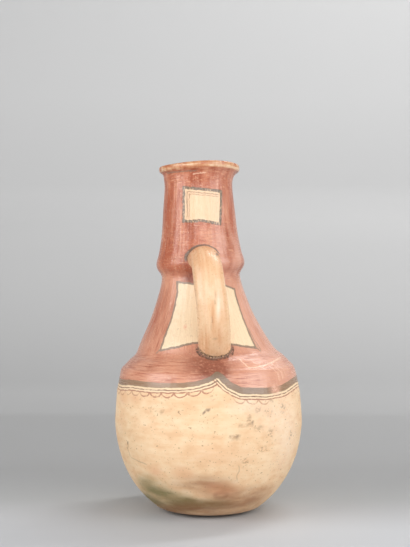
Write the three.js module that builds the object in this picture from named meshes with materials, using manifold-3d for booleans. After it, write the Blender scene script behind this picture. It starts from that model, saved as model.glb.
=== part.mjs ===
// A one-handled vase of hand-built earthenware: a round belly on a small flat foot, a shoulder pressed into
// three shallow lobes, a tapering neck with a collar, a flared lip, and one strap-like handle from the collar
// down to the shoulder. It is one fired piece, open at the mouth and hollow.
// Millimetres, +Z up. The origin is the centre of the foot, and the handle faces -Y.
import * as THREE from "three";
import { mergeVertices } from "three/addons/utils/BufferGeometryUtils.js";
import Module from "manifold-3d";

const FOOT_RADIUS = 37.5;
const BELLY = { radius: 87.2, height: 84, depthBelow: 96.4, fullness: 2.05, arcFrom: 4.6, arcPoints: 5 };
const WAIST = { radius: 37, height: 215 };
const COLLAR = { radius: 41.3, height: 228.5 };
const LIP = { radius: 37.9, height: 315.2 };
const TOP = 317.5;
const FLOOR_THICKNESS = 9;

// The neck leans to -X above the belly, and the shoulder and the collar sit a little higher on their +X side. The lip
// was turned out a little more towards +X.
const LEAN = { from: 108, to: 318, shift: -9.8, easeFrom: 115, easeTo: 162 };
const LIP_SHIFT = { across: 1.2, from: 304, to: 313 };
const TILT = { slope: 0.04, from: 118, full: 150, fadeFrom: 200, fadeTo: 310 };
// The uneven lip rises on the front right, as an angle from the handle's side (-Y) towards +X.
const LIP_RISE = { height: 3.5, angle: THREE.MathUtils.degToRad(33), sharpness: 3.5, from: 303 };

// The valleys between the shoulder's lobes, as angles from the handle's side (-Y) towards +X.
const VALLEYS = [5.5, 125, 245].map(THREE.MathUtils.degToRad);
const LOBE = { depth: 4, centre: 133, reach: 27, share: 0.75, roundness: 0.55 };

// The handle's section is an oval. It leaves the collar level, arches over and comes down on the shoulder.
const HANDLE = { topWidth: 26, footWidth: 29, thickness: 20.4, rootFlare: 2, rootReach: 0.12 };
const HANDLE_PATH = [
  [-5, -36, 230.4],
  [-3.8, -50, 232.3],
  [-1.4, -63, 224.2],
  [0.8, -71, 208.5],
  [3.3, -73.6, 189.5],
  [4.8, -70.8, 172],
  [5.2, -63, 156.5],
  [5.3, -52, 146.5],
].map((place) => new THREE.Vector3(...place));

const ROOTS = { depthInWall: 4, from: 100, to: 270 };

const ROUND_SEGMENTS = 52;
const STEPS_PER_STRETCH = 2;
const HANDLE_SIDES = 18;
const HANDLE_STEPS = 22;

// The belly's lower half is a full oval, cut flat at the foot.
const LOWER_BELLY = Array.from({ length: BELLY.arcPoints }, (_, i) => {
  const height = THREE.MathUtils.lerp(BELLY.arcFrom, BELLY.height, i / BELLY.arcPoints);
  const down = (BELLY.height - height) / BELLY.depthBelow;
  return [BELLY.radius * (1 - down ** BELLY.fullness) ** (1 / BELLY.fullness), height];
});

// The wall's outer face from the foot to the lip, as [radius, height], one point where the curve changes.
const OUTER_WALL = [
  [FOOT_RADIUS, 0],
  ...LOWER_BELLY,
  [BELLY.radius, BELLY.height],
  [85.4, 110],
  [80.7, 129.4],
  [76.4, 135],
  [71.1, 140.6],
  [65.1, 145.8],
  [59.5, 156],
  [47.5, 180],
  [39.8, 201],
  [WAIST.radius, WAIST.height],
  [39.8, 223],
  [COLLAR.radius, COLLAR.height],
  [38.6, 239],
  [35.5, 256],
  [33.8, 276],
  [32, 298],
  [33.1, 307.5],
  [36.2, 312],
  [LIP.radius, LIP.height],
  [36.6, TOP],
];

// The inner face, smoother than the outer one, from the lip down to the floor.
const INNER_WALL = [
  [33.4, TOP],
  [29.4, 310],
  [26.2, 295],
  [28.4, 250],
  [32.4, 201],
  [42.4, 173],
  [60.1, 143.5],
  [75.1, 121],
  [80, 88],
  [75.5, 52],
  [58.2, 23.5],
  [30, FLOOR_THICKNESS],
];

const wasm = await Module();
wasm.setup();

// A three.js geometry as a solid: only its closed surface is kept.
function solidFrom(geometry) {
  geometry.deleteAttribute("normal");
  geometry.deleteAttribute("uv");
  const merged = mergeVertices(geometry, 1e-4);
  const corners = merged.index.array;
  const kept = [];
  for (let i = 0; i < corners.length; i += 3) {
    const [a, b, c] = corners.slice(i, i + 3);
    if (a !== b && b !== c && c !== a) kept.push(a, b, c);
  }
  return new wasm.Manifold(
    new wasm.Mesh({
      numProp: 3,
      vertProperties: new Float32Array(merged.attributes.position.array),
      triVerts: new Uint32Array(kept),
    }),
  );
}

function geometryFrom(solid) {
  const mesh = solid.getMesh();
  return new THREE.BufferGeometry()
    .setAttribute("position", new THREE.BufferAttribute(mesh.vertProperties, 3))
    .setIndex(new THREE.BufferAttribute(mesh.triVerts, 1));
}

// How far the axis stands to the side at a height.
function leanAt(height) {
  const along = Math.max(0, (height - LEAN.from) / (LEAN.to - LEAN.from));
  const neck = LEAN.shift * Math.sqrt(along) * THREE.MathUtils.smoothstep(height, LEAN.easeFrom, LEAN.easeTo);
  return neck + LIP_SHIFT.across * THREE.MathUtils.smoothstep(height, LIP_SHIFT.from, LIP_SHIFT.to);
}

// How steeply the section at a height rises towards +X.
function tiltAt(height) {
  const risen = THREE.MathUtils.smoothstep(height, TILT.from, TILT.full);
  return TILT.slope * risen * (1 - THREE.MathUtils.smoothstep(height, TILT.fadeFrom, TILT.fadeTo));
}

function lipRiseAt(angle, height) {
  const towards = (1 + Math.cos(angle - LIP_RISE.angle)) / 2;
  return LIP_RISE.height * towards ** LIP_RISE.sharpness * THREE.MathUtils.smoothstep(height, LIP_RISE.from, TOP);
}

// From 0 in a valley to 1 on a lobe's crown, round the shoulder.
function lobeAt(angle) {
  const turn = 2 * Math.PI;
  const next = VALLEYS.findIndex((valley) => valley > angle);
  const to = next < 0 ? VALLEYS[0] + turn : VALLEYS[next];
  const from = next > 0 ? VALLEYS[next - 1] : VALLEYS.at(-1) - (next === 0 ? turn : 0);
  return Math.sin((Math.PI * (angle - from)) / (to - from)) ** LOBE.roundness;
}

// Presses the lobes into a turned form, leans its neck and lifts its lip.
function handShaped(geometry) {
  const places = geometry.getAttribute("position");
  const place = new THREE.Vector3();
  for (let i = 0; i < places.count; i += 1) {
    place.fromBufferAttribute(places, i);
    const { z } = place;
    const angle = (Math.atan2(place.x, -place.y) + 2 * Math.PI) % (2 * Math.PI);
    const nearShoulder = Math.max(0, 1 - ((z - LOBE.centre) / LOBE.reach) ** 2) ** 2;
    const pressed = LOBE.depth * nearShoulder * (lobeAt(angle) - LOBE.share);
    const radius = Math.hypot(place.x, place.y);
    const shaped = radius > 0 ? radius + pressed : 0;
    const side = shaped * Math.sin(angle);
    const raised = z + tiltAt(z) * side + lipRiseAt(angle, z);
    places.setXYZ(i, side + leanAt(z), -shaped * Math.cos(angle), raised);
  }
  return geometry;
}

// A smooth line through the points of a wall's face.
function faceLine(wall) {
  const line = new THREE.SplineCurve(wall.map((at) => new THREE.Vector2(...at)));
  return line.getPoints((wall.length - 1) * STEPS_PER_STRETCH);
}

// Turns an outline about the axis, where it starts and ends.
function turned(outline) {
  const onAxis = [outline[0], outline.at(-1)].map((end) => new THREE.Vector2(0, end.y));
  const closed = [onAxis[0], ...outline, onAxis[1]];
  return solidFrom(handShaped(new THREE.LatheGeometry(closed, ROUND_SEGMENTS).rotateX(Math.PI / 2)));
}

// The handle: an oval bar bent along its path, a little wider at both roots.
function handle() {
  const path = new THREE.CatmullRomCurve3(HANDLE_PATH);
  const bar = new THREE.CylinderGeometry(0.5, 0.5, 1, HANDLE_SIDES, HANDLE_STEPS);
  const places = bar.getAttribute("position");
  const place = new THREE.Vector3();
  const across = new THREE.Vector3();
  const out = new THREE.Vector3();
  for (let i = 0; i < places.count; i += 1) {
    place.fromBufferAttribute(places, i);
    const along = 0.5 - place.y;
    const centre = path.getPoint(along);
    const forward = path.getTangent(along);
    across.set(1, 0, 0).addScaledVector(forward, -forward.x).normalize();
    out.crossVectors(forward, across);
    const root = Math.max(0, 1 - Math.min(along, 1 - along) / HANDLE.rootReach);
    const flare = 2 * HANDLE.rootFlare * root * root;
    const width = THREE.MathUtils.lerp(HANDLE.topWidth, HANDLE.footWidth, along);
    centre.addScaledVector(across, place.x * (width + flare));
    centre.addScaledVector(out, place.z * (HANDLE.thickness + flare));
    places.setXYZ(i, centre.x, centre.y, centre.z);
  }
  return bar;
}

// The handle's roots end inside the wall, where this filled form cuts them off.
function middleOfWall() {
  const outline = faceLine(OUTER_WALL).filter((at) => at.y > ROOTS.from && at.y < ROOTS.to);
  return turned(outline.map((at) => new THREE.Vector2(at.x - ROOTS.depthInWall, at.y)));
}

function vase() {
  const body = turned([...faceLine(OUTER_WALL), ...faceLine(INNER_WALL)]);
  const mesh = new THREE.Mesh(
    geometryFrom(body.add(solidFrom(handle()).subtract(middleOfWall()))),
    new THREE.MeshStandardMaterial({ color: 0xe0b48c, roughness: 0.6, metalness: 0 }),
  );
  mesh.name = "vase";
  return mesh;
}

const group = new THREE.Group();
group.add(vase());

export default group;
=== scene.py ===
import math

import bmesh
import bpy
import numpy as np
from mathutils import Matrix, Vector


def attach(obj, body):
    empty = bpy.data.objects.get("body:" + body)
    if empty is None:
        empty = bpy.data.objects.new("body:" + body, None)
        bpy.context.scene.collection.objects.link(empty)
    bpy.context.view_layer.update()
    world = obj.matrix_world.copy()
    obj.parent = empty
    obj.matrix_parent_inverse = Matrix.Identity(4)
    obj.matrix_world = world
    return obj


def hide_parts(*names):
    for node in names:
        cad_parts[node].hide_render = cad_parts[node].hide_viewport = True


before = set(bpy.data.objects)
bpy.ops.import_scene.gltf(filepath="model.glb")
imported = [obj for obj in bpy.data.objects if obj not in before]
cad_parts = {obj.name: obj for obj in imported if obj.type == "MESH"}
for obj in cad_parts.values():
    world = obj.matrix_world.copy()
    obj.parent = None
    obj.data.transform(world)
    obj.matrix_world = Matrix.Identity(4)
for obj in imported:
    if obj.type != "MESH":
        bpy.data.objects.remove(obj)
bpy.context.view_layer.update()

# The hollow body is coil-built earthenware, beaten round over a small flat foot. While damp, its shoulder
# was pressed into three lobes, a collar was laid round its neck and its lip was turned out by hand. Sizes
# are in millimetres from the middle of the foot, and become metres when a mesh is made.
MM = 0.001
COLUMNS = 264
# How far apart rows of places lie on the painted part, on the belly and inside.
FINE_ROW = 1.15
BELLY_ROW = 2.3
INSIDE_ROW = 8.0
FOOT_RADIUS = 37.5
BELLY = {"radius": 87.2, "height": 84.0, "depth_below": 96.4, "fullness": 2.05}
BELLY_ARC_FROM = 4.6
BELLY_ARC_POINTS = 7
LIP_TOP = 317.4
FLOOR_THICKNESS = 9.0
# The neck leans to -X, the shoulder and collar sit higher on +X, and the lip rises on its front right.
LEAN = {"from": 108.0, "to": 318.0, "shift": -9.8, "ease_from": 115.0, "ease_to": 162.0}
LIP_SHIFT = {"across": 1.2, "from": 304.0, "to": 313.0}
TILT = {"slope": 0.04, "from": 118.0, "full": 150.0, "fade_from": 200.0, "fade_to": 310.0}
LIP_RISE = {"height": 3.4, "angle": 33.0, "sharpness": 3.2, "from": 303.0}
# The valleys between lobes, as angles in degrees from the handle's side towards +X.
VALLEYS = np.array([-115.0, 5.5, 125.0, 245.0])
LOBE = {"depth": 4.4, "centre": 133.0, "reach": 27.0, "share": 0.8, "roundness": 0.5}
# How deep the marks of hand work are on the outside: slow swells, scraped facets and nicks in the lip.
SWELL_DEPTH = 0.3
FACET_DEPTH = 0.16
NICK_DEPTH = 0.25


def smoothstep(value, low, high):
    """From 0 at the low value to 1 at the high one, easing in and out."""
    share = np.clip((value - low) / (high - low), 0, 1)
    return share * share * (3 - 2 * share)


def smooth_line(points, spacing, samples=24):
    """Points about spacing apart on a smooth curve through the given points."""
    points = np.array(points, float)
    before = np.vstack([points[:1], points[:-2]])
    start, end = points[:-1], points[1:]
    after = np.vstack([points[2:], points[-1:]])
    dense = []
    for share in np.linspace(0, 1, samples, endpoint=False):
        bend = (2 * start - 2 * end + (end - before) / 2 + (after - start) / 2) * share**3
        turn = (3 * end - 3 * start - (end - before) - (after - start) / 2) * share**2
        dense.append(start + (end - before) / 2 * share + turn + bend)
    dense = np.vstack([np.stack(dense, 1).reshape(-1, points.shape[1]), points[-1:]])
    run = np.concatenate([[0], np.cumsum(np.linalg.norm(np.diff(dense, axis=0), axis=1))])
    at = np.linspace(0, run[-1], max(2, round(run[-1] / spacing)) + 1)
    return np.stack([np.interp(at, run, axis) for axis in dense.T], 1)


def lean_at(height):
    """How far the axis stands to the side at a height."""
    along = np.sqrt(np.maximum(0, (height - LEAN["from"]) / (LEAN["to"] - LEAN["from"])))
    neck = LEAN["shift"] * along * smoothstep(height, LEAN["ease_from"], LEAN["ease_to"])
    return neck + LIP_SHIFT["across"] * smoothstep(height, LIP_SHIFT["from"], LIP_SHIFT["to"])


def tilt_at(height):
    """How steeply the section at a height rises towards +X."""
    risen = TILT["slope"] * smoothstep(height, TILT["from"], TILT["full"])
    return risen * (1 - smoothstep(height, TILT["fade_from"], TILT["fade_to"]))


def lip_rise_at(angle, height):
    """How far the uneven lip is lifted."""
    towards = (1 + np.cos(np.radians(angle - LIP_RISE["angle"]))) / 2
    rise = LIP_RISE["height"] * towards ** LIP_RISE["sharpness"]
    return rise * smoothstep(height, LIP_RISE["from"], LIP_TOP)


def lobe_swell(angle, height):
    """How far the pressed shoulder stands out from the turned form."""
    wrapped = (angle - VALLEYS[0]) % 360 + VALLEYS[0]
    lobe = np.clip(np.searchsorted(VALLEYS, wrapped, side="right") - 1, 0, 2)
    share = (wrapped - VALLEYS[lobe]) / (VALLEYS[lobe + 1] - VALLEYS[lobe])
    near_shoulder = np.maximum(0, 1 - ((height - LOBE["centre"]) / LOBE["reach"]) ** 2) ** 2
    return LOBE["depth"] * near_shoulder * (np.sin(math.pi * share) ** LOBE["roundness"] - LOBE["share"])


def unevenness(angle, height, waves, longest, seed):
    """Soft random swells round and up the vase, mostly from -1 to 1, that close up round it."""
    draw = np.random.default_rng(seed)
    swell = np.zeros(np.broadcast(angle, height).shape)
    for _ in range(waves):
        round_count = draw.integers(1, 7)
        rise = 2 * math.pi / (longest * draw.uniform(0.4, 1))
        phase = draw.uniform(0, 2 * math.pi, 2)
        swell += np.cos(np.radians(angle) * round_count + phase[0]) * np.cos(height * rise + phase[1])
    return swell / math.sqrt(waves) / 1.2


def hand_shaped(line, columns, outside):
    """Rows of places: a line of radii and heights turned round the leaning, uneven axis."""
    radius, height = line[:, :1], line[:, 1:]
    angle = np.linspace(0, 360, columns, endpoint=False)[None]
    shift = lobe_swell(angle, height)
    if outside:
        swell = SWELL_DEPTH * (unevenness(angle, height, waves=14, longest=110, seed=3) - 1)
        facets = FACET_DEPTH * unevenness(angle * 9, height, waves=9, longest=160, seed=8)
        nicks = NICK_DEPTH * unevenness(angle * 4, height, waves=12, longest=30, seed=21)
        marks = swell + facets * smoothstep(height, 140, 170) + nicks * smoothstep(height, 308, 313)
        shift = shift + marks * smoothstep(height, 2, 30)
    radius = radius + shift
    side = radius * np.sin(np.radians(angle))
    raised = height + tilt_at(height) * side + lip_rise_at(angle, height)
    return np.stack([side + lean_at(height), -radius * np.cos(np.radians(angle)), raised + 0 * side], -1)


def closed_mesh(name, rows):
    """A tube through rows of places, each row a ring, closed by a fan at both ends."""
    row_count, columns = rows.shape[:2]
    ends = rows[[0, -1]].mean(1)
    corners = [Vector(place) * MM for place in np.concatenate([rows.reshape(-1, 3), ends])]
    first, last = len(corners) - 2, len(corners) - 1
    faces = []
    for below in range(0, (row_count - 1) * columns, columns):
        above = below + columns
        for column in range(columns):
            beside = (column + 1) % columns
            faces.append((below + column, below + beside, above + beside, above + column))
    for column in range(columns):
        beside = (column + 1) % columns
        faces.append((beside, column, first))
        faces.append((first - columns + column, first - columns + beside, last))
    mesh = bpy.data.meshes.new(name)
    mesh.from_pydata(corners, [], faces)
    shape = bmesh.new()
    shape.from_mesh(mesh)
    bmesh.ops.recalc_face_normals(shape, faces=shape.faces)
    shape.to_mesh(mesh)
    shape.free()
    thing = bpy.data.objects.new(name, mesh)
    bpy.context.scene.collection.objects.link(thing)
    return thing


# The belly's lower half is a full oval, cut flat at the foot.
lower_belly = []
for step in range(BELLY_ARC_POINTS):
    height = BELLY_ARC_FROM + (BELLY["height"] - BELLY_ARC_FROM) * step / BELLY_ARC_POINTS
    down = (BELLY["height"] - height) / BELLY["depth_below"]
    full = BELLY["fullness"]
    lower_belly.append((BELLY["radius"] * (1 - down**full) ** (1 / full), height))
# The wall's outer face from the belly up and its inner face from the lip down, as radii and heights.
SHOULDER_AND_NECK = [
    (BELLY["radius"], BELLY["height"]),
    (85.3, 110),
    (80.8, 129.4),
    (76.5, 135),
    (71.1, 140.6),
    (65.1, 145.8),
    (59.5, 156),
    (47.5, 180),
    (39.8, 201),
    (36.8, 213.6),
    (37.5, 218.4),
    (40.6, 223.4),
    (41.4, 229),
    (38.6, 239),
    (35.5, 256),
    (33.8, 276),
    (32, 298),
    (32.6, 306),
    (34, 309.8),
    (36.6, 311.9),
    (37.7, 313.2),
    (37.9, 315.6),
    (37.2, 316.9),
    (35.2, LIP_TOP),
]
INSIDE = [
    (35.2, LIP_TOP),
    (33.2, LIP_TOP - 1.2),
    (29.6, 310),
    (26.2, 295),
    (28.4, 250),
    (32.4, 201),
    (42.4, 173),
    (60.1, 143.5),
    (75.1, 121),
    (80, 88),
    (75.5, 52),
    (58.2, 23.5),
    (30, FLOOR_THICKNESS),
    (8, FLOOR_THICKNESS - 0.3),
]
FOOT_EDGE = [(8, 0), (FOOT_RADIUS - 4, 0), (FOOT_RADIUS + 1, 0.15), (45, 1.6)]
lower_line = smooth_line(FOOT_EDGE + lower_belly + SHOULDER_AND_NECK[:2], BELLY_ROW)
outer_line = np.vstack([lower_line[:-1], smooth_line(SHOULDER_AND_NECK[1:], FINE_ROW)])
outer_line[:, 1] = np.maximum(outer_line[:, 1], 0)
inside_line = smooth_line(INSIDE, INSIDE_ROW)
outer_rows = hand_shaped(outer_line, COLUMNS, outside=True)
inner_rows = hand_shaped(inside_line[1:], COLUMNS, outside=False)
vase = closed_mesh("vase_body_and_handle", np.concatenate([outer_rows, inner_rows]))

# The handle is a pulled and rolled strap of the same clay, pressed into the collar and shoulder before
# firing. It was shaved lengthways with a knife, which left long flats, and its roots were smoothed in
# with a finger.
HANDLE = {"top_width": 26.0, "foot_width": 29.2, "thickness": 20.4, "root_flare": 1.6, "root_reach": 0.1}
HANDLE_SIDES = 72
HANDLE_ROW = 1.5
FLATS = {"count": 11, "depth": 0.28, "drift": 0.6, "ease": 0.4}
ROOTS = {"depth_in_wall": 4.0, "from": 100.0, "to": 270.0, "columns": 64, "smoothing": 3.0, "passes": 6}
HANDLE_PATH = [
    (-5, -36, 230.4),
    (-3.8, -50, 232.3),
    (-1.4, -63, 224.2),
    (0.8, -71, 208.5),
    (3.3, -73.6, 189.5),
    (4.8, -70.8, 172),
    (5.2, -63, 156.5),
    (5.3, -52, 146.5),
]

path = smooth_line(HANDLE_PATH, HANDLE_ROW)
forward = np.gradient(path, axis=0)
forward /= np.linalg.norm(forward, axis=1)[:, None]
across = np.array([1.0, 0, 0]) - forward * forward[:, :1]
across /= np.linalg.norm(across, axis=1)[:, None]
out = np.cross(forward, across)
along = np.linspace(0, 1, len(path))
root = np.maximum(0, 1 - np.minimum(along, 1 - along) / HANDLE["root_reach"])
flare = HANDLE["root_flare"] * root**2
half_width = (HANDLE["top_width"] + (HANDLE["foot_width"] - HANDLE["top_width"]) * along) / 2 + flare
half_thickness = HANDLE["thickness"] / 2 + flare

turn = np.linspace(0, 2 * math.pi, HANDLE_SIDES, endpoint=False)
drift = FLATS["drift"] * np.sin(turn * 2)
flats = FLATS["depth"] * (1 - np.abs(np.sin(turn * FLATS["count"] / 2 + drift)))
shaved = np.sin(math.pi * along) ** FLATS["ease"]
section = 1 - flats[None, :] / half_thickness[:, None] * shaved[:, None]
sideways = section * np.cos(turn) * half_width[:, None]
outward = section * np.sin(turn) * half_thickness[:, None]
bar = path[:, None] + across[:, None] * sideways[..., None] + out[:, None] * outward[..., None]
handle = closed_mesh("handle", bar)

# Its roots end inside the wall, where a filled form of the wall's middle cuts them off.
behind_roots = (outer_line[:, 1] > ROOTS["from"]) & (outer_line[:, 1] < ROOTS["to"])
in_wall = outer_line[behind_roots][::3] - [ROOTS["depth_in_wall"], 0]
middle_of_wall = closed_mesh("middle_of_wall", hand_shaped(in_wall, ROOTS["columns"], outside=False))


def combine(thing, other, operation):
    """Joins another object to a thing or cuts it away, and leaves the thing a plain mesh."""
    cut = thing.modifiers.new(operation.lower(), "BOOLEAN")
    cut.operation = operation
    cut.solver = "EXACT"
    cut.object = other
    bpy.context.view_layer.update()
    mesh = bpy.data.meshes.new_from_object(thing.evaluated_get(bpy.context.evaluated_depsgraph_get()))
    thing.modifiers.remove(cut)
    thing.data = mesh
    bpy.data.objects.remove(other)
    return mesh


combine(handle, middle_of_wall, "DIFFERENCE")
joined = combine(vase, handle, "UNION")


def places_of(parts, kind="co"):
    """The places of a mesh's vertices or faces in millimetres."""
    flat = np.zeros(len(parts) * 3, np.float32)
    parts.foreach_get(kind, flat)
    return flat.reshape(-1, 3).astype(float) / MM


# A distance that stands for far away, well past everything that is painted.
FAR = 60.0
# Places are measured this many at once.
AT_ONCE = 1000
# Only places in front of the first and between the other two are near enough to the handle to be measured.
HANDLE_BOX = {"front": -28, "low": 120, "high": 262}


def beyond_handle(places):
    """How far each place is outside the handle's skin, its angle round it and its run along it."""
    far = np.full(len(places), FAR)
    side = np.zeros(len(places))
    run = np.zeros(len(places))
    level = (places[:, 2] > HANDLE_BOX["low"]) & (places[:, 2] < HANDLE_BOX["high"])
    nearby = np.where(level & (places[:, 1] < HANDLE_BOX["front"]))[0]
    for some in np.array_split(nearby, max(1, len(nearby) // AT_ONCE)):
        offset = places[some, None] - path[None]
        nearest = np.argmin((offset**2).sum(-1), 1)
        offset = offset[np.arange(len(some)), nearest]
        off_across = (offset * across[nearest]).sum(1)
        off_out = (offset * out[nearest]).sum(1)
        reach = np.hypot(off_across / half_width[nearest], off_out / half_thickness[nearest])
        far[some] = np.hypot(off_across, off_out) * (1 - 1 / np.maximum(reach, 0.05))
        side[some] = np.arctan2(off_across, off_out)
        run[some] = nearest * HANDLE_ROW
    return far, side, run


def beyond_wall(places):
    """How far each place lies outside the body's outer face, measured level from the leaning axis."""
    from_axis = places[:, 0] - lean_at(places[:, 2])
    height = places[:, 2] - tilt_at(places[:, 2]) * from_axis
    angle = np.degrees(np.arctan2(from_axis, -places[:, 1]))
    wall = np.interp(height, outer_line[:, 1], outer_line[:, 0]) + lobe_swell(angle, height)
    return np.hypot(from_axis, places[:, 1]) - wall


def on_inside(places):
    """Whether each place lies on the wall's inner face or the floor."""
    from_axis = places[:, 0] - lean_at(places[:, 2])
    lifted = lip_rise_at(np.degrees(np.arctan2(from_axis, -places[:, 1])), places[:, 2])
    height = places[:, 2] - tilt_at(places[:, 2]) * from_axis - lifted
    inner = np.interp(height, inside_line[::-1, 1], inside_line[::-1, 0])
    outer = np.interp(height, outer_line[:, 1], outer_line[:, 0])
    nearer_inside = np.hypot(from_axis, places[:, 1]) < (inner + outer) / 2
    return nearer_inside & (height > FLOOR_THICKNESS / 2)


shape = bmesh.new()
shape.from_mesh(joined)
places = places_of(joined.vertices)
at_handle = np.abs(beyond_handle(places)[0]) < ROOTS["smoothing"]
at_root = at_handle & (np.abs(beyond_wall(places)) < ROOTS["smoothing"])
shape.verts.ensure_lookup_table()
smoothed = [shape.verts[i] for i in np.where(at_root)[0]]
every_way = {"use_axis_x": True, "use_axis_y": True, "use_axis_z": True}
for _ in range(ROOTS["passes"]):
    bmesh.ops.smooth_vert(shape, verts=smoothed, factor=0.5, **every_way)
bmesh.ops.triangulate(shape, faces=[face for face in shape.faces if len(face.verts) > 4])
shape.to_mesh(joined)
shape.free()
joined.polygons.foreach_set("use_smooth", np.ones(len(joined.polygons), bool))

# The ornament was laid out by eye: swags hang along the lobes where red meets cream, and a panel sits on
# the neck, behind the handle and behind the vase. Slip and painted lines are laid by each place's distance
# from their edges. Here and below, angles run from the handle's side towards +X.
LEFT_SWAG = [
    (-115, 127.5), (-109, 123.5), (-101, 120.2), (-92, 118), (-82, 116.8), (-71, 116.7), (-64, 117.3),
    (-56, 118.3), (-43, 118.6), (-31, 118.8), (-20.7, 119.4), (-15.7, 119.7), (-10.8, 120.6), (-6, 121.6),
    (-2.4, 123.2), (1.3, 124.8), (3.2, 125.9), (5.9, 128.2),
]
RIGHT_SWAG = [
    (5.9, 128.2), (7.6, 126), (8.6, 124.1), (10.3, 121.7), (11.9, 119.7), (15.4, 117), (18.9, 114.6),
    (22.7, 113.9), (30.5, 113.2), (38, 112.7), (49.9, 113.6), (57, 115.3), (63.7, 117.1), (72.5, 118.5),
    (84, 118.1), (96, 117.5), (108, 118.6), (117, 122), (125, 127.5),
]
BACK_SWAG = [
    (125, 127.5), (132, 122.2), (141, 118.2), (155, 116.2), (170, 115.5), (187, 115.3), (203, 115.6),
    (218, 116.8), (230, 119.5), (238, 123), (245, 127.5),
]
# The right swag's thin lines start a little past the left one's, and cross them.
CROSSING_START = [(1.6, 134), (4, 130.7)]
# How thick the dark band is at some angles. Distances above the swags are stretched so that it always ends
# at BAND_TOP.
BAND_THICKNESS = [
    (-115, 5.4), (-60, 4.8), (-30, 3.9), (-2, 3.8), (3.5, 4.3), (5.9, 4.9), (10, 5.6), (60, 5.3),
    (125, 5.6), (185, 4.6), (245, 5.6),
]
BAND_TOP = 10
# Only places between these heights are measured from the swags. The rest lie far above or below this level.
SWAGS_BETWEEN = (96, 146)
SWAG_LEVEL = 120
# Scallops, in degrees: one's width, where the first is on each lobe, and how strongly they show from where
# to where.
SCALLOP_STEP = 8.35
SCALLOP_FIRST = np.array([-8.4, 18.0, 185.0])
SCALLOPS_SHOWN = [
    (-108, -60, 0.6), (-60, -46, 0.75), (-46, 3.5, 1.0), (14, 39, 0.65), (62, 116, 0.4), (133, 237, 0.8),
]
# How far a degree reaches round the shoulder, in millimetres.
MM_PER_DEGREE = math.radians(86)

places = places_of(joined.vertices)
x, y, z = places.T
from_axis = x - lean_at(z)
angle = np.degrees(np.arctan2(from_axis, -y))
wrapped = (angle - VALLEYS[0]) % 360 + VALLEYS[0]
wall_radius = np.hypot(from_axis, y)
near_swags = np.where((z > SWAGS_BETWEEN[0]) & (z < SWAGS_BETWEEN[1]))[0]


def above(line):
    """How far above a line of angles and heights each place near the swags is, below 0 where it is under."""
    edge = smooth_line([(turned * MM_PER_DEGREE, high) for turned, high in line], spacing=0.5)
    here = np.stack([wrapped[near_swags] * MM_PER_DEGREE, z[near_swags]], 1)
    parts = np.array_split(here, max(1, len(here) // AT_ONCE))
    far = np.concatenate([np.linalg.norm(some[:, None] - edge[None], axis=2).min(1) for some in parts])
    return np.where(here[:, 1] > np.interp(here[:, 0], *edge.T), far, -far)


above_each = np.stack([above(swag) for swag in (LEFT_SWAG, RIGHT_SWAG, BACK_SWAG)])
nearest_swag = np.argmin(np.abs(above_each), 0)
band = np.where(z > SWAG_LEVEL, FAR, -FAR)
band[near_swags] = above_each[nearest_swag, np.arange(len(near_swags))]
band = np.where(band > 0, band / np.interp(wrapped, *np.array(BAND_THICKNESS).T) * BAND_TOP, band)
crossing = np.full(len(places), -FAR)
crossing[near_swags] = above(CROSSING_START + RIGHT_SWAG)
lobe = np.clip(np.searchsorted(VALLEYS, wrapped, side="right") - 1, 0, 2)
scallop_run = (wrapped - SCALLOP_FIRST[lobe]) / SCALLOP_STEP
scallops_shown = np.zeros(len(places))
for start, end, strength in SCALLOPS_SHOWN:
    risen = smoothstep(wrapped, start, start + 2)
    scallops_shown += strength * risen * (1 - smoothstep(wrapped, end - 2, end))

# A panel's left and right sides are lines of heights and angles, its top and bottom of angles and heights.
NECK_PANEL = {
    "left": [(264.2, -26.5), (281.1, -26.6), (297.5, -27)],
    "right": [(261.4, 34.9), (278.8, 39.3), (294, 42.3)],
    "top": [(-27, 297.5), (3.3, 295.9), (42.3, 294)],
    "bottom": [(-26.5, 264.2), (-8.7, 264.1), (1.8, 264.9), (34.9, 261.4)],
}
CONE_PANEL = {
    "left": [
        (149.5, -39.1), (161.2, -37.7), (174.7, -35.7), (188.3, -34.2), (200.9, -33.8), (210.3, -36),
    ],
    "right": [(151.3, 47.6), (160.8, 48), (172, 48.3), (188, 49.4), (197.3, 50), (203.7, 51.2)],
    "top": [(-37, 210.3), (-10.9, 208.7), (36.7, 206.9), (51, 203.7)],
    "bottom": [
        (-39, 149.5), (-23.4, 152.8), (-14.4, 155.4), (-7.2, 156.9), (24, 155.3), (34.7, 153.4),
        (47.6, 151.3),
    ],
}
# The neck's cone slopes, so a millimetre up is this much along it, and its second panel is at this angle.
CONE_STRETCH = 1.12
BEHIND = 180.5
# The angles are turned into millimetres by the wall's radius, which is at least this outside.
LEAST_RADIUS = 30


def sides_of(panel, turned, stretch):
    """How far each place lies inside a panel's left, right, top and bottom side."""
    line = {side: np.array(points, float).T for side, points in panel.items()}
    radius = np.maximum(wall_radius, LEAST_RADIUS)
    return (
        np.radians(turned - np.interp(z, *line["left"])) * radius,
        np.radians(np.interp(z, *line["right"]) - turned) * radius,
        (np.interp(turned, *line["top"]) - z) * stretch,
        (z - np.interp(turned, *line["bottom"])) * stretch,
    )


from_left, from_right, from_top, from_bottom = sides_of(NECK_PANEL, angle, 1.0)
neck_panel = np.minimum.reduce([from_left, from_right, from_top, from_bottom])
neck_lines = np.minimum(from_left, from_top)
neck_lines_shown = smoothstep(from_right, 2.5, 6) * smoothstep(from_bottom, 2.5, 5)
behind = (angle - BEHIND + 180) % 360 - 180
cone_panel = np.minimum.reduce(sides_of(CONE_PANEL, angle, CONE_STRETCH))
cone_panel = np.maximum(cone_panel, np.minimum.reduce(sides_of(CONE_PANEL, behind, CONE_STRETCH)))

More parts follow.
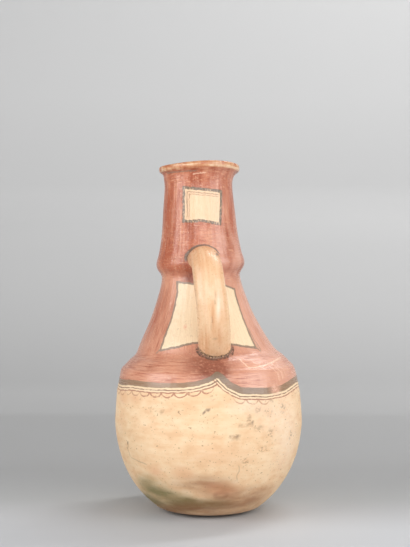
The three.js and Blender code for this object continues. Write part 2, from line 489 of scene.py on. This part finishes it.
# The grip is above 0 on the handle and below 0 on the body, by the distance from where they meet. A place
# is on the handle when it is less than HANDLE_SKIN outside it.
HANDLE_SKIN = 0.35
from_handle, handle_side, along_handle = beyond_handle(places)
grip = np.where(from_handle > HANDLE_SKIN, -from_handle, np.maximum(beyond_wall(places), 0) + 0.01)
grip = np.maximum(grip, -FAR)
on_body = (grip < 0) & ~on_inside(places)
# The painted arc over the upper root shows above a line that rises to the right.
upper_root = smoothstep(z - 0.22 * (x + 3.5), 231.5, 234.5)
lower_root = 1 - smoothstep(z, 151.5, 156)

# The slip was rubbed level on the shoulder, round the collar and below the lip, and upright between them.
# The red is paler and pinker towards the right, most of all low down, and the red is worn off the lip from
# LIP_EDGE up.
LIP_EDGE = 311.2


def between(low, risen, full, high):
    """From 0 to 1 over the first two heights, and back to 0 over the last two."""
    return smoothstep(z, low, risen) * (1 - smoothstep(z, full, high))


strokes_level = smoothstep(z, 288, 300) + between(222, 240, 264, 272)
strokes_level += (1 - smoothstep(z, 138, 156)) + between(204, 214, 230, 240) * 0.7
strokes_level = np.where(grip > 0, 0, np.clip(strokes_level, 0, 1))
lip = z - lip_rise_at(angle, z) - LIP_EDGE
faded = smoothstep(angle, 8, 42) * (1 - smoothstep(angle, 120, 160))
faded *= 0.35 + 0.65 * (1 - smoothstep(z, 244, 268))
shoulder = (1 - smoothstep(z, 212, 222)) * (0.85 + 0.15 * (1 - smoothstep(z, 150, 170)))

# Slip and clay were laid along the wall, so their grain runs on a roll that follows it: round it, then
# up its face. On the handle it runs down its length.
LAY_RADIUS = 62.0
HANDLE_LAY_RADIUS = 12.0
HANDLE_LAY_FROM = 900.0
profile_run = np.concatenate([[0], np.cumsum(np.linalg.norm(np.diff(outer_line, axis=0), axis=1))])
up_wall = np.interp(z - tilt_at(z) * from_axis, outer_line[:, 1], profile_run)
turned = np.radians(angle)
lay = np.stack([np.sin(turned) * LAY_RADIUS, np.cos(turned) * LAY_RADIUS, up_wall], 1)
rolled = np.stack([along_handle, 0 * z + HANDLE_LAY_FROM, handle_side * HANDLE_LAY_RADIUS], 1)
lay = np.where((grip > 0)[:, None], rolled, lay)

# Marks on the handle lie in front of this.
HANDLE_FRONT = -50


def spot(centre_angle, centre_height, wide, high, soft=0.6):
    """From 1 in a mark's middle to 0 at its edge, on the outside of the wall."""
    sideways = np.radians((angle - centre_angle + 180) % 360 - 180) * wall_radius / wide
    reach = np.hypot(sideways, (z - centre_height) / high)
    return (1 - smoothstep(reach, 1 - soft, 1)) * on_body


def soft_spot(*mark):
    return spot(*mark, soft=0.95)


def handle_spot(centre_x, centre_height, wide, high, soft=0.7):
    """The same on the side of the handle that faces away from the neck."""
    reach = np.hypot((x - centre_x) / wide, (z - centre_height) / high)
    return (1 - smoothstep(reach, 1 - soft, 1)) * (grip > 0) * (y < HANDLE_FRONT)


def soft_handle_spot(*mark):
    return handle_spot(*mark, soft=0.95)


def gathered(kind, marks):
    """How strongly some marks of one kind show together."""
    return np.clip(sum(kind(*mark) for mark in marks), 0, 1)


# A thin stroke is measured up to its reach away and down to its depth in, and fades out beyond its ends and
# beside it.
STROKE = {"reach": 9.0, "depth": 15, "end_fade": 1.2, "side_fade": (1.3, 3)}


def thin_strokes(strokes):
    """How far to one side of the nearest of some thin strokes each place is, and how strongly it shows."""
    away = np.full(len(places), FAR)
    nearest = np.full(len(places), STROKE["reach"])
    shown = np.zeros(len(places))
    for strength, stroke in strokes:
        turned, high = np.array(stroke, float).T
        radius = np.interp(high, outer_line[:, 1], outer_line[:, 0])
        outward = np.stack([np.sin(np.radians(turned)), -np.cos(np.radians(turned)), 0 * high], 1)
        corners = outward * radius[:, None] + np.stack([lean_at(high), 0 * high, high], 1)
        for start, end, normal in zip(corners, corners[1:], outward):
            length = np.linalg.norm(end - start)
            direction = (end - start) / length
            sideways = np.cross(normal, direction)
            offset = places - start
            run = offset @ direction
            beyond = np.maximum(np.maximum(-run, run - length), 0)
            signed = offset @ (sideways / np.linalg.norm(sideways))
            far = np.hypot(signed, beyond)
            closer = (far < nearest) & (offset @ normal > -STROKE["depth"]) & on_body
            nearest[closer] = far[closer]
            away[closer] = signed[closer]
            fading = 1 - smoothstep(beyond, 0, STROKE["end_fade"])
            fading *= 1 - smoothstep(np.abs(signed), *STROKE["side_fade"])
            shown[closer] = strength * fading[closer]
    return away, shown


# Short painted strokes beside the panels, under the lip and low on the belly, each as how strongly it
# shows and a line of angles and heights. The one under the lip is dark paint and painted shadow under the
# lip's overhang.
ink_and_lip_shadow, ink_and_lip_shadow_shown = thin_strokes([
    (0.8, [(-39.2, 150.3), (-42.8, 147)]),
    (0.8, [(47, 152), (51, 148)]),
    (0.6, [(50.2, 168), (50.6, 158), (52.6, 149.5)]),
    # Dark paint and painted shadow under the lip.
    (0.7, [(-60, 310.4), (-35, 310.6), (-5, 311)]),
    (0.5, [(-59, 63), (-57.5, 55.5)]),
    (0.4, [(-56, 53.5), (-49, 52), (-42, 50)]),
    (0.35, [(18.5, 51.5), (19.5, 47), (17.8, 43), (18.6, 38.5)]),
])
# Fine lines scored through the slip on the right lobe and under the lip, which show the bare clay.
scored, scored_shown = thin_strokes([
    (1.0, [(25.4, 142.2), (28.7, 135.3)]),
    (0.95, [(28.7, 135.3), (34.6, 135.6), (41, 137), (47.8, 137.9), (58, 139.8), (68.3, 141.5)]),
    (0.7, [(46.4, 134.6), (49.6, 130), (49.8, 123)]),
    (0.7, [(50.6, 135.4), (54, 130.5), (53.6, 124.5)]),
    (0.55, [(55.5, 136), (58, 131.5), (57.4, 127)]),
    (0.7, [(-8, 308.2), (10, 309.6)]),
])

# Stains, marks and painted shade, each as its angle round the wall, its height, and half its width and
# height.
SMUDGES = [
    (14.5, 77.5, 6, 2.6), (22, 87.6, 6, 3), (18, 88, 3, 2), (29.5, 84.3, 7, 3), (-28.2, 98.2, 3.4, 2.6),
    (24, 92, 3, 5),
]
PITS = [
    (-0.6, 101.2, 2, 2.2), (16.8, 77, 2.8, 1.7), (-2.6, 98.2, 1.7, 1.8), (26, 88.5, 1.9, 1.8),
    (-57, 66, 1.8, 2.2),
]
SCUFFS = [
    (33, 65, 6, 3), (58, 74, 4, 6), (41, 108, 5, 4), (37, 97, 7, 4), (38, 78, 5, 6), (22, 55, 3, 7),
    (50, 99, 5, 6), (3, 112, 4, 3), (30, 100, 4, 3), (-34, 100, 5, 4),
]
BLUSHES = [(-15.9, 45.6, 15, 9), (-64, 106, 16, 9), (-50, 107, 14, 6), (8, 30, 30, 11), (-36, 45, 12, 8)]
PALE_BLUSHES = [(-64, 85, 12, 16), (0, 108, 30, 6), (33, 101, 26, 10), (5, 62, 44, 14)]
SOOT = [(-24, 17, 28, 14), (-46, 27, 34, 20), (-30, 14, 42, 14), (6, 15, 30, 9), (-60, 12, 50, 14)]
EARTH = [(6, 9, 78, 18), (9, 27, 26, 10), (34, 22, 44, 14), (-30, 5, 44, 9), (-4, 36, 40, 12)]
RICH = [(-52, 236, 24, 22), (-60, 275, 12, 34), (-66, 180, 12, 30), (64, 268, 10, 36)]
# Painted shade under the handle, partly darker slip: in the crease between the lobes below it, and under the
# collar below its top root.
SHADE_UNDER_HANDLE = [
    (1, 139, 38, 19), (5.5, 132, 17, 14), (-4, 216, 20, 9), (-10, 212, 14, 8), (14, 214, 14, 8),
]
# The handle's marks, as their place across and height in millimetres, and half their width and height.
HANDLE_MARKS = [(7.6, 234.5, 1.9, 1.2), (7, 235.2, 1.1, 1.4)]
HANDLE_STREAKS = [
    (-8.2, 221.8, 0.9, 1.3), (5.6, 199, 0.9, 5), (5.4, 194, 0.8, 4), (5.6, 161.5, 3, 0.6), (3, 178, 0.5, 5),
    (2, 170, 0.5, 6),
]
HANDLE_RUST = [(3.6, 180, 2.6, 22), (8, 163, 5, 16), (-4, 158, 9, 18)]

# Kept on the mesh: distances from lines, how many scallops along a place is, and how strongly marks, painted
# shade and painted highlights show.
fields = {
    "band": band,
    "crossing": crossing,
    "crossing_shown": spot(3.4, 123.2, 6, 5, soft=0.3),
    # Painted shade at the cusp under the handle, and below it to the right.
    "shade_at_cusp": gathered(soft_spot, [(6, 128, 34, 16), (27, 116, 30, 12)]),
    "scallop_run": scallop_run,
    "scallops_shown": scallops_shown * on_body,
    "neck_panel": neck_panel,
    "neck_lines": neck_lines,
    "neck_lines_shown": neck_lines_shown,
    "cone_panel": cone_panel,
    "grip": grip,
    "upper_root": upper_root,
    "lower_root": lower_root,
    "strokes_level": strokes_level,
    "lip": lip,
    "lip_pale": gathered(soft_spot, [(44, 314, 20, 8)]),
    "faded": faded,
    "shoulder": shoulder,
    "rich": gathered(soft_spot, RICH),
    "ink_and_lip_shadow": ink_and_lip_shadow,
    "ink_and_lip_shadow_shown": ink_and_lip_shadow_shown,
    "scored": scored,
    "scored_shown": scored_shown,
    "smudge": gathered(spot, SMUDGES),
    "dusty": gathered(soft_spot, [(48, 96, 44, 32), (56, 66, 30, 34), (24, 104, 30, 12)]),
    "pit": gathered(spot, PITS),
    "scuff": gathered(spot, SCUFFS),
    "blush": gathered(soft_spot, BLUSHES) + 0.4 * gathered(soft_spot, PALE_BLUSHES),
    "rubbed": 0.8 * gathered(soft_spot, [(44.6, 116.5, 10, 9)]),
    "soot": np.maximum(gathered(soft_spot, SOOT), 0.16 * gathered(soft_spot, [(-60, 62, 44, 52)])),
    "earth": gathered(soft_spot, EARTH),
    "ring_stain": gathered(soft_spot, [(9, 24.5, 10, 6)]) - gathered(soft_spot, [(9, 24.5, 6.5, 3.4)]),
    "shade_under_handle": gathered(soft_spot, SHADE_UNDER_HANDLE),
    "handle_warm": (grip > 0) * (0.5 + 0.5 * smoothstep(z, 205, 240)),
    "handle_mark": gathered(handle_spot, HANDLE_MARKS) + 0.35 * gathered(handle_spot, HANDLE_STREAKS),
    "handle_rust": gathered(soft_handle_spot, HANDLE_RUST),
    # A painted highlight: pale streaks down the handle where the lamps' reflections run.
    "handle_highlight": soft_handle_spot(8.2, 189, 2.6, 18) + 0.3 * soft_handle_spot(-2, 196, 4, 30),
    "pink_spot": spot(-17.4, 170.3, 2.4, 3, soft=0.9) + 0.7 * spot(-13.9, 268.2, 1.1, 1.1, soft=0.9),
}
for name, values in fields.items():
    attribute = joined.attributes.new(name, "FLOAT", "POINT")
    attribute.data.foreach_set("value", values.astype(np.float32))
attribute = joined.attributes.new("lay", "FLOAT_VECTOR", "POINT")
attribute.data.foreach_set("vector", lay.astype(np.float32).ravel())


# Burnished slip over buff clay: an iron-red slip and a cream slip were wiped on damp and rubbed with a
# pebble, which leaves a low shine in narrow strokes. The lines are a thin brown-black iron and manganese
# paint, worn in places.
def linear(code):
    """A #rrggbb colour as linear red, green, blue and 1."""
    parts = [int(code[i : i + 2], 16) / 255 for i in (1, 3, 5)]
    return (*[part / 12.92 if part <= 0.04045 else ((part + 0.055) / 1.055) ** 2.4 for part in parts], 1)


def add(kind, inputs=(), stops=None, **settings):
    """Adds a node to the tree in hand and returns its outputs.

    Inputs are sockets to link, values or #rrggbb colours, and stops are a ramp's places and colours.
    """
    node = tree.nodes.new("ShaderNode" + kind)
    for name, value in settings.items():
        setattr(node, name, value)
    for socket, value in inputs.items() if isinstance(inputs, dict) else enumerate(inputs):
        if isinstance(value, bpy.types.NodeSocket):
            tree.links.new(value, node.inputs[socket])
        else:
            node.inputs[socket].default_value = linear(value) if isinstance(value, str) else value
    if stops:
        elements = node.color_ramp.elements
        elements.remove(elements[1])
        for number, (place, colour) in enumerate(stops):
            stop = elements.new(place) if number else elements[0]
            stop.position, stop.color = place, linear(colour) if isinstance(colour, str) else colour
    return node.outputs


# Painted lines are laid by ramps that read a field from -REACH to REACH, and have soft edges this wide.
REACH = 12.0
SOFT_EDGE = 0.3


def brush_lines(lines):
    """Ramp stops for lines given as where they start and end, their colour and how well it covers."""
    stops = []
    for start, end, colour, cover in lines:
        edges = [(start - SOFT_EDGE, 0), (start, cover), (end, cover), (end + SOFT_EDGE, 0)]
        for at, alpha in edges[: 4 if end < REACH else 3]:
            stops.append(((min(at, REACH) + REACH) / (2 * REACH), (*linear(colour)[:3], alpha)))
    return stops


slipped = bpy.data.materials.new("burnished red and cream slip")
slipped.use_nodes = True
tree = slipped.node_tree
shader = tree.nodes["Principled BSDF"]
field = {name: add("Attribute", attribute_name=name)["Fac"] for name in fields}
roll = add("Attribute", attribute_name="lay")["Vector"]

# The sizes across and up of each grain, in millimetres, and how many finer layers it has.
GRAINS = {
    "upright strokes": (0.8, 13, 2),
    "level strokes": (12, 0.8, 2),
    "long strokes": (4, 34, 2),
    "clouds": (17, 24, 2),
    "blotches": (9, 7, 3),
    "stains": (24, 9, 4),
    "mottle": (2.2, 2.2, 3),
    "specks": (1.5, 1.5, 1),
    "wobble": (4, 4, 2),
    "wear": (2.8, 2.8, 4),
    "wiping": (46, 2.6, 3),
}
grain = {}
for name, (across_size, up_size, detail) in GRAINS.items():
    scale = (1 / across_size, 1 / across_size, 1 / up_size)
    scaled = add("Mapping", {"Vector": roll, "Scale": scale})[0]
    grain[name] = add("TexNoise", {"Vector": scaled, "Scale": 1.0, "Detail": detail})["Fac"]
both_strokes = {0: field["strokes_level"], 2: grain["upright strokes"], 3: grain["level strokes"]}
strokes = add("Mix", both_strokes)[0]

# The cream clay and the red slip each vary softly between their colours.
CLAY = [(0.34, "#e0b88f"), (0.46, "#e6c29a"), (0.54, "#e8c7a0"), (0.66, "#ecceaa")]
SLIP = [(0.34, "#a3573c"), (0.46, "#b3674a"), (0.56, "#be7558"), (0.68, "#ca8869")]
uneven = add("Math", [grain["wiping"], 0.2], operation="MULTIPLY")[0]
uneven = add("Math", [grain["blotches"], 0.8, uneven], operation="MULTIPLY_ADD")[0]
coats = {
    "clay": add("ValToRGB", [uneven], CLAY)[0],
    "red": add("ValToRGB", [grain["clouds"]], SLIP)[0],
}
# Each stain, or patch of painted shade or highlight, has its coat, the field that it keeps to, its colour, a
# grain with the two values between which it comes through, and how well it covers.
STAINS = [
    ("red", None, "#c98a6e", grain["long strokes"], 0.5, 0.74, 0.45),
    ("red", None, "#86422e", strokes, 0.5, 0.34, 0.4),
    ("red", None, "#e3ad8c", strokes, 0.57, 0.72, 0.75),
    ("red", "faded", "#d09d89", grain["clouds"], 0.2, 0.55, 0.8),
    ("red", "shoulder", "#dba58a", strokes, 0.28, 0.62, 0.72),
    ("red", "rich", "#a04a2c", grain["clouds"], 0.1, 0.5, 0.6),
    ("red", None, "#e6b294", grain["specks"], 0.64, 0.72, 0.6),
    # Painted shade under the handle darkens the red, partly darker slip as well.
    ("red", "shade_under_handle", "#6f3325", grain["mottle"], 0.1, 0.5, 0.75),
    ("clay", None, "#94765a", grain["specks"], 0.66, 0.76, 0.5),
    ("clay", "soot", "#69663a", grain["stains"], -0.15, 0.6, 0.86),
    ("clay", "earth", "#8e5833", grain["stains"], 0.05, 0.6, 0.72),
    ("clay", "ring_stain", "#6b3d26", grain["mottle"], 0.05, 0.35, 0.9),
    ("clay", "dusty", "#efd7bf", grain["mottle"], 0.2, 0.6, 0.55),
    ("clay", "blush", "#d39066", grain["blotches"], 0.2, 0.6, 0.5),
    ("clay", "smudge", "#94704f", grain["mottle"], 0.3, 0.6, 0.6),
    ("clay", "handle_warm", "#d6a077", grain["wiping"], 0.15, 0.6, 0.9),
    ("clay", "handle_rust", "#c98a5c", grain["wiping"], 0.2, 0.6, 0.65),
    # A painted highlight on the handle.
    ("clay", "handle_highlight", "#f3e0c8", grain["wiping"], 0.15, 0.5, 0.65),
    ("clay", "handle_mark", "#5d4a38", grain["mottle"], 0.1, 0.3, 0.85),
    ("clay", "scuff", "#8d6c50", grain["mottle"], 0.47, 0.58, 0.55),
    ("clay", "pit", "#5f4c3d", grain["mottle"], 0.1, 0.45, 0.85),
]
for coat, name, colour, source, low, high, cover in STAINS:
    through = add("MapRange", [source, low, high, 0, cover])[0]
    if name:
        through = add("Math", [through, field[name]], operation="MULTIPLY")[0]
    coats[coat] = add("Mix", {0: through, 6: coats[coat], 7: colour}, data_type="RGBA")[2]

# A brush wavers: every line, and the slip's edge, is up to half of WAVER out of place.
WAVER = 1.8
shift = add("Math", [grain["wobble"], WAVER, -WAVER / 2], operation="MULTIPLY_ADD")[0]
slip_on = add("MapRange", [add("Math", [field["band"], shift])[0], 0, 1])[0]
colour = add("Mix", {0: slip_on, 6: coats["clay"], 7: coats["red"]}, data_type="RGBA")[2]

# A scallop is half an oval that hangs from the lower thin line. Its field is 0 on the oval's outline.
SCALLOP_DROP = 4.0
SCALLOP_FROM = 4.5
SCALLOP_FILL = 2.2
SCALLOP_SIZE = 4.6
cell = add("Math", [field["scallop_run"], 0.5], operation="PINGPONG")[0]
half_widths = add("Math", [cell, SCALLOP_FILL], operation="MULTIPLY")[0]
fallen = [field["band"], -1 / SCALLOP_DROP, -SCALLOP_FROM / SCALLOP_DROP]
drops = add("Math", fallen, operation="MULTIPLY_ADD")[0]
oval = add("VectorMath", [add("CombineXYZ", [half_widths, drops])[0]], operation="LENGTH")["Value"]
scallop = add("Math", [oval, SCALLOP_SIZE, -SCALLOP_SIZE], operation="MULTIPLY_ADD")[0]
below_line = add("MapRange", [drops, -0.05, 0.1])[0]
hung = add("Math", [below_line, field["scallops_shown"]], operation="MULTIPLY")[0]

# How much of a line is left, from where it is worn through to where it is whole.
wear = add("MapRange", [grain["wear"], 0.34, 0.5, 0.35, 1])[0]
light_wear = add("MapRange", [grain["wear"], 0.3, 0.4, 0.85, 1])[0]
unrubbed = add("Math", [1.0, field["rubbed"]], operation="SUBTRACT")[0]
band_left = add("Math", [light_wear, unrubbed], operation="MULTIPLY")[0]
worn_scallop = add("Math", [hung, wear], operation="MULTIPLY")[0]
beads = add("MapRange", [grain["specks"], 0.4, 0.52, 0.25, 1])[0]
ring_cover = add("Math", [field["lower_root"], beads], operation="MULTIPLY")[0]
crumbly = add("MapRange", [grain["specks"], 0.36, 0.5, 0.45, 1])[0]
scored_cover = add("Math", [field["scored_shown"], crumbly], operation="MULTIPLY")[0]
on_grip = add("MapRange", [field["grip"], 0, 0.6])[0]

# Each entry has the field that its lines follow, how much of them is left, and the lines themselves.
CREAM, INK, UMBER, RED_LINE, BARE = "#ead0ad", "#8c7765", "#7d5442", "#a86f58", "#ecc2a6"
LINES = [
    (field["band"], light_wear, [(-4.4, -0.2, CREAM, 0.85)]),
    (field["band"], wear, [(-5, -4.2, RED_LINE, 0.9), (-2.65, -1.95, UMBER, 0.85)]),
    (field["crossing"], field["crossing_shown"], [(-4.9, -4.2, RED_LINE, 0.8), (-2.6, -1.9, UMBER, 0.9)]),
    (field["band"], band_left, [(0, BAND_TOP, "#92785f", 0.92)]),
    # Painted shade darkens the band and its lines at the cusp under the handle.
    (
        field["band"],
        field["shade_at_cusp"],
        [(-5, -4.2, "#76503f", 0.5), (-2.65, -1.95, "#5b4034", 0.6), (0, BAND_TOP, "#6b5b4e", 0.5)],
    ),
    (scallop, worn_scallop, [(-0.5, 0.5, RED_LINE, 0.85)]),
    (field["cone_panel"], light_wear, [(0.2, REACH, CREAM, 1)]),
    (field["cone_panel"], light_wear, [(-0.9, 0.9, INK, 0.92)]),
    (field["neck_panel"], light_wear, [(0.6, REACH, "#e4c09b", 1)]),
    (field["neck_panel"], wear, [(0, 2.4, "#6c5b4b", 0.95)]),
    (field["neck_lines"], field["neck_lines_shown"], [(4.3, 4.9, UMBER, 0.6), (6.3, 6.8, UMBER, 0.5)]),
    (field["grip"], field["upper_root"], [(-2.4, 0.3, "#6e5a4a", 0.9)]),
    # Painted strokes, with painted shadow under the lip.
    (field["ink_and_lip_shadow"], field["ink_and_lip_shadow_shown"], [(-0.4, 0.4, INK, 0.9)]),
    (field["scored"], scored_cover, [(-0.4, 0.4, BARE, 1)]),
]
BEADED_RING = [(-2.4, 3.8, "#5f483b", 0.95)]


def painted(under, source, cover, lines):
    """A colour with wavering lines of paint over it, where a field has their values."""
    moved = add("Math", [source, shift])[0]
    ramp = add("ValToRGB", [add("MapRange", [moved, -REACH, REACH])[0]], brush_lines(lines))
    laid = add("Math", [ramp["Alpha"], cover], operation="MULTIPLY")[0]
    return add("Mix", {0: laid, 6: under, 7: ramp["Color"]}, data_type="RGBA")[2]


# The handle covers the body's lines, and the ring round its lower root is painted over both.
for source, cover, lines in LINES:
    colour = painted(colour, source, cover, lines)
colour = add("Mix", {0: on_grip, 6: colour, 7: coats["clay"]}, data_type="RGBA")[2]
colour = painted(colour, field["grip"], ring_cover, BEADED_RING)

# Small worn places and flecks go over everything, and the lip's thin red is worn to buff.
ragged = add("MapRange", [grain["mottle"], 0.4, 0.56, 0.25, 1.1])[0]
for name, tint in (("pink_spot", "#e0a084"), ("rubbed", "#dfb199")):
    patchy = add("Math", [field[name], ragged], operation="MULTIPLY")[0]
    colour = add("Mix", {0: patchy, 6: colour, 7: tint}, data_type="RGBA")[2]
flecks = add("MapRange", [grain["specks"], 0.68, 0.76, 0, 0.35])[0]
colour = add("Mix", {0: flecks, 6: colour, 7: "#8a664a"}, data_type="RGBA")[2]
LIP = [(0.37, "#a9603f"), (0.45, "#bd7c56"), (0.54, "#d3a27a"), (0.63, "#e9c9a6")]
wiped = add("Math", [grain["blotches"], 0.55], operation="MULTIPLY")[0]
wiped = add("Math", [grain["wiping"], 0.45, wiped], operation="MULTIPLY_ADD")[0]
wiped = add("Math", [field["lip_pale"], 0.13, wiped], operation="MULTIPLY_ADD")[0]
lip_colour = add("ValToRGB", [wiped], LIP)[0]
lip_on = add("MapRange", [field["lip"], 0, 0.8, 0, 0.85])[0]
colour = add("Mix", {0: lip_on, 6: colour, 7: lip_colour}, data_type="RGBA")[2]
tree.links.new(colour, shader.inputs["Base Color"])

# The red is glossiest along its rubbed strokes. The cream is matt, but a hand has polished the handle.
gloss = add("MapRange", [strokes, 0.35, 0.65, 0.36, 0.2])[0]
matt = add("MapRange", [grain["mottle"], 0.3, 0.7, 0.66, 0.54])[0]
matt = add("Math", [on_grip, -0.3, matt], operation="MULTIPLY_ADD")[0]
burnished = add("Math", [slip_on, on_grip], operation="SUBTRACT")[0]
tree.links.new(add("Mix", {0: burnished, 2: matt, 3: gloss})[0], shader.inputs["Roughness"])
shader.inputs["IOR"].default_value = 1.5

# How far each grain stands out and each mark is sunk, in millimetres.
RELIEF = [
    (strokes, 0.14),
    (grain["mottle"], 0.15),
    (grain["blotches"], 0.5),
    (grain["long strokes"], 0.3),
    (field["pit"], -0.5),
    (field["scored_shown"], -0.12),
]
relief = 0.0
for source, depth in RELIEF:
    relief = add("Math", [source, depth, relief], operation="MULTIPLY_ADD")[0]
bump = add("Bump", {"Height": relief, "Distance": MM, "Strength": 0.7})[0]
tree.links.new(bump, shader.inputs["Normal"])

# The inside was only wiped smooth: it is bare buff clay, matt and slightly gritty, with level finger
# marks, and the red slip was carried over the lip and a little way down, where it ends unevenly.
INSIDE_RED = [(0.34, "#98503a"), (0.46, "#ac6146"), (0.56, "#bd7858"), (0.66, "#d09a79")]
# Where the red fades out and how unevenly, in metres.
RED_FADES = (0.304, 0.308)
RED_UNEVEN = 0.012
bare = bpy.data.materials.new("bare buff clay")
bare.use_nodes = True
tree = bare.node_tree
shader = tree.nodes["Principled BSDF"]
place = add("TexCoord")["Object"]
stretched = add("Mapping", {"Vector": place, "Scale": (60, 60, 420)})[0]
wiped = add("TexNoise", {"Vector": stretched, "Scale": 1.0, "Detail": 3.0})["Fac"]
gritty = add("TexNoise", {"Vector": place, "Scale": 900.0, "Detail": 2.0})["Fac"]
clay = add("ValToRGB", [wiped], [(0.3, "#b98a63"), (0.5, "#c99d76"), (0.7, "#d6b08a")])[0]
height = add("SeparateXYZ", [place])["Z"]
ragged = add("Math", [wiped, RED_UNEVEN, height], operation="MULTIPLY_ADD")[0]
carried = add("MapRange", [ragged, *RED_FADES])[0]
thin_red = add("ValToRGB", [wiped], INSIDE_RED)[0]
colour = add("Mix", {0: carried, 6: clay, 7: thin_red}, data_type="RGBA")[2]
tree.links.new(colour, shader.inputs["Base Color"])
shader.inputs["Roughness"].default_value = 0.8
bump = add("Bump", {"Height": gritty, "Distance": 0.3 * MM, "Strength": 0.6})[0]
tree.links.new(bump, shader.inputs["Normal"])

# The wall's inner face and the floor inside take the second material.
joined.materials.clear()
joined.materials.append(slipped)
joined.materials.append(bare)
bare_faces = on_inside(places_of(joined.polygons, "center"))
joined.polygons.foreach_set("material_index", bare_faces.astype(np.int32))
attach(vase, "root")
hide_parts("vase")

# A seamless sweep of pale grey paper stands in for the table and the wall. Its line runs back along the
# floor, bends up and rises behind the vase, in metres.
SWEEP = [(-1.4, 0.0), (0.45, 0.0), (0.7, 0.03), (0.93, 0.13), (1.07, 0.3), (1.13, 0.55), (1.15, 2.4)]
SWEEP_HALF = 2.4
line = smooth_line(SWEEP, spacing=0.05)
corners = [Vector((side, deep, high)) for deep, high in line for side in (-SWEEP_HALF, SWEEP_HALF)]
faces = [(2 * i, 2 * i + 1, 2 * i + 3, 2 * i + 2) for i in range(len(line) - 1)]
sweep_mesh = bpy.data.meshes.new("paper_sweep")
sweep_mesh.from_pydata(corners, [], faces)
sweep_mesh.polygons.foreach_set("use_smooth", np.ones(len(faces), bool))
sweep = bpy.data.objects.new("paper_sweep", sweep_mesh)
bpy.context.scene.collection.objects.link(sweep)
paper = bpy.data.materials.new("pale grey paper")
paper.use_nodes = True
tree = paper.node_tree
shader = tree.nodes["Principled BSDF"]
# The paper's colour carries painted light and shade: it is lightest in front of the vase, darker behind it
# with a painted shadow of the vase and painted falloff, and lighter again where it stands upright. Its
# colours lie along a run, which is how far back and up a place is.
PAPER_LIGHT_AND_SHADE = [
    (0.055, "#bfc1c4"),
    (0.085, "#b6b7b9"),
    (0.12, "#acadad"),
    (0.2, "#a2a2a2"),
    (0.31, "#a4a4a4"),
    (0.36, "#a6a6a6"),
    (0.5, "#aaaaaa"),
    (0.75, "#b7b7b7"),
    (0.95, "#c4c4c4"),
]
PAPER_RUN = (-0.2, 1.8)
where = add("SeparateXYZ", [add("TexCoord")["Object"]])
run = add("MapRange", [add("Math", [where["Y"], where["Z"]])[0], *PAPER_RUN])[0]
tree.links.new(add("ValToRGB", [run], PAPER_LIGHT_AND_SHADE)[0], shader.inputs["Base Color"])
shader.inputs["Roughness"].default_value = 0.9
sweep_mesh.materials.append(paper)

# A large soft box stands on each side, a little in front, and a wide one straight in front fills in. A long
# one above lights the backdrop. Each has its place, what it points at, its width and height, and its power.
LAMPS = [
    ("soft_box_left", (-1.32, -0.75, 0.6), (0, 0, 0.17), (1.0, 1.1), 16.8),
    ("soft_box_right", (1.27, -0.85, 0.6), (0, 0, 0.17), (1.0, 1.1), 15.2),
    ("front_box", (0.1, -1.5, 0.7), (0, 0, 0.1), (1.4, 0.5), 11),
    ("backdrop_box", (0.9, 0.6, 1.75), (0.6, 1.3, 0.7), (1.6, 0.3), 19),
]
for name, stand, aim, (wide, high), watts in LAMPS:
    lamp = bpy.data.lights.new(name, "AREA")
    lamp.shape = "RECTANGLE"
    lamp.size = wide
    lamp.size_y = high
    lamp.energy = watts
    box = bpy.data.objects.new(name, lamp)
    box.location = stand
    box.rotation_euler = (Vector(aim) - Vector(stand)).to_track_quat("-Z", "Y").to_euler()
    bpy.context.scene.collection.objects.link(box)
# A pale grey room fills in the shadows.
world = bpy.data.worlds.new("studio")
world.use_nodes = True
world.node_tree.nodes["Background"].inputs["Color"].default_value = linear("#c8c8c8")
world.node_tree.nodes["Background"].inputs["Strength"].default_value = 0.36
bpy.context.scene.world = world
bpy.context.scene.view_settings.view_transform = "Standard"

# The camera looks level at the neck from about a metre in front.
camera = bpy.data.objects.new("camera", bpy.data.cameras.new("camera"))
camera.data.lens = 71.374
camera.data.sensor_width = 36
camera.location = (-0.0032, -1.015, 0.218)
camera.rotation_euler = (math.radians(90), 0, 0)
bpy.context.scene.collection.objects.link(camera)
bpy.context.scene.camera = camera
